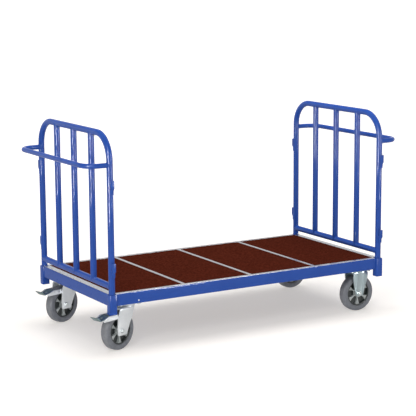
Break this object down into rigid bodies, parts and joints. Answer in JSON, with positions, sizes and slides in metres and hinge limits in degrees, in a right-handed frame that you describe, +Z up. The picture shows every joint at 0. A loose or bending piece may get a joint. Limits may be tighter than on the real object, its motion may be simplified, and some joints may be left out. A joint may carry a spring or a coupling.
{
  "type": "flatbed platform truck",
  "caption": "Flatbed platform truck with bolted castors, a panelled deck, and a tubular end wall with a push handle at each end.",
  "frame": {"origin": "on the floor, midway along and across the truck", "axes": "+X along the length from the swivel castors to the fixed castors, +Y across, +Z up"},
  "size_m": [1.907, 0.858, 1.104],
  "materials": {
    "blue_powder_coat": "gloss powder coat",
    "deck_board": "film-faced plywood with a fine anti-slip mottle",
    "strip_metal": "bright drawn",
    "bolt_steel": "zinc plated",
    "bright_zinc": "bright zinc plated pressing",
    "green_zinc": "zinc plated pressing with a pale passivation",
    "pedal_steel": "dark zinc plated pressing",
    "grey_tyre": "matte solid rubber",
    "rim_plastic": "moulded, satin"
  },
  "bodies": {
    "chassis": {"side_rail_front": "blue_powder_coat", "side_rail_back": "blue_powder_coat", "end_rail_left": "blue_powder_coat", "end_rail_right": "blue_powder_coat", "corner_socket_front_left": "blue_powder_coat", "corner_socket_front_right": "blue_powder_coat", "corner_socket_back_left": "blue_powder_coat", "corner_socket_back_right": "blue_powder_coat", "cross_members": "blue_powder_coat", "deck_ledges": "blue_powder_coat", "deck_panel_1": "deck_board", "deck_panel_2": "deck_board", "deck_panel_3": "deck_board", "deck_panel_4": "deck_board", "cross_strip_1": "strip_metal", "cross_strip_2": "strip_metal", "cross_strip_3": "strip_metal", "edge_strip_front": "strip_metal", "edge_strip_back": "strip_metal", "end_strip_left": "strip_metal", "end_strip_right": "strip_metal", "rail_rivets": "bolt_steel", "deck_screws": "bolt_steel", "castor_fasteners": "bolt_steel", "king_pins": "bolt_steel", "fixed_axles": "bolt_steel", "swivel_plate_front": "bright_zinc", "swivel_plate_back": "bright_zinc", "fixed_fork_front": "green_zinc", "fixed_fork_back": "green_zinc"},
    "end_wall_left": {"wall_hoop_left": "blue_powder_coat", "wall_bottom_rail_left": "blue_powder_coat", "wall_bars_left": "blue_powder_coat", "push_handle_left": "blue_powder_coat", "wall_hooks_left": "blue_powder_coat"},
    "end_wall_right": {"wall_hoop_right": "blue_powder_coat", "wall_bottom_rail_right": "blue_powder_coat", "wall_bars_right": "blue_powder_coat", "push_handle_right": "blue_powder_coat", "wall_hooks_right": "blue_powder_coat"},
    "swivel_front": {"swivel_fork_front": "bright_zinc", "swivel_axle_front": "bolt_steel", "pedal_pin_front": "bolt_steel"},
    "pedal_front": {"brake_pedal_front": "pedal_steel"},
    "wheel_front_left": {"tyre_front_left": "grey_tyre", "rim_front_left": "rim_plastic", "bearing_front_left": "bolt_steel"},
    "wheel_front_right": {"tyre_front_right": "grey_tyre", "rim_front_right": "rim_plastic", "bearing_front_right": "bolt_steel"},
    "swivel_back": {"swivel_fork_back": "bright_zinc", "swivel_axle_back": "bolt_steel", "pedal_pin_back": "bolt_steel"},
    "pedal_back": {"brake_pedal_back": "pedal_steel"},
    "wheel_back_left": {"tyre_back_left": "grey_tyre", "rim_back_left": "rim_plastic", "bearing_back_left": "bolt_steel"},
    "wheel_back_right": {"tyre_back_right": "grey_tyre", "rim_back_right": "rim_plastic", "bearing_back_right": "bolt_steel"}
  },
  "joints": [
    {"name": "end_wall_left_lift", "type": "slide", "parent": "chassis", "child": "end_wall_left", "axis": [0, 0, 1], "range_m": [0, 0.12]},
    {"name": "end_wall_right_lift", "type": "slide", "parent": "chassis", "child": "end_wall_right", "axis": [0, 0, 1], "range_m": [0, 0.12]},
    {"name": "swivel_front_turn", "type": "hinge", "parent": "chassis", "child": "swivel_front", "pos_m": [-0.7, -0.325, 0], "axis": [0, 0, 1], "continuous": true},
    {"name": "pedal_front_press", "type": "hinge", "parent": "swivel_front", "child": "pedal_front", "pos_m": [-0.83951, -0.3744, 0.182], "axis": [0.3338, -0.9426, 0], "range_deg": [0, 12]},
    {"name": "wheel_front_left_spin", "type": "hinge", "parent": "swivel_front", "child": "wheel_front_left", "pos_m": [-0.76221, -0.34703, 0.1], "axis": [-0.3338, 0.9426, 0], "continuous": true},
    {"name": "wheel_front_right_spin", "type": "hinge", "parent": "chassis", "child": "wheel_front_right", "pos_m": [0.726, -0.325, 0.1], "axis": [0, 1, 0], "continuous": true},
    {"name": "swivel_back_turn", "type": "hinge", "parent": "chassis", "child": "swivel_back", "pos_m": [-0.7, 0.325, 0], "axis": [0, 0, 1], "continuous": true},
    {"name": "pedal_back_press", "type": "hinge", "parent": "swivel_back", "child": "pedal_back", "pos_m": [-0.84076, 0.27926, 0.182], "axis": [0.309, -0.9511, 0], "range_deg": [0, 12]},
    {"name": "wheel_back_left_spin", "type": "hinge", "parent": "swivel_back", "child": "wheel_back_left", "pos_m": [-0.76277, 0.30461, 0.1], "axis": [-0.309, 0.9511, 0], "continuous": true},
    {"name": "wheel_back_right_spin", "type": "hinge", "parent": "chassis", "child": "wheel_back_right", "pos_m": [0.726, 0.325, 0.1], "axis": [0, 1, 0], "continuous": true}
  ]
}
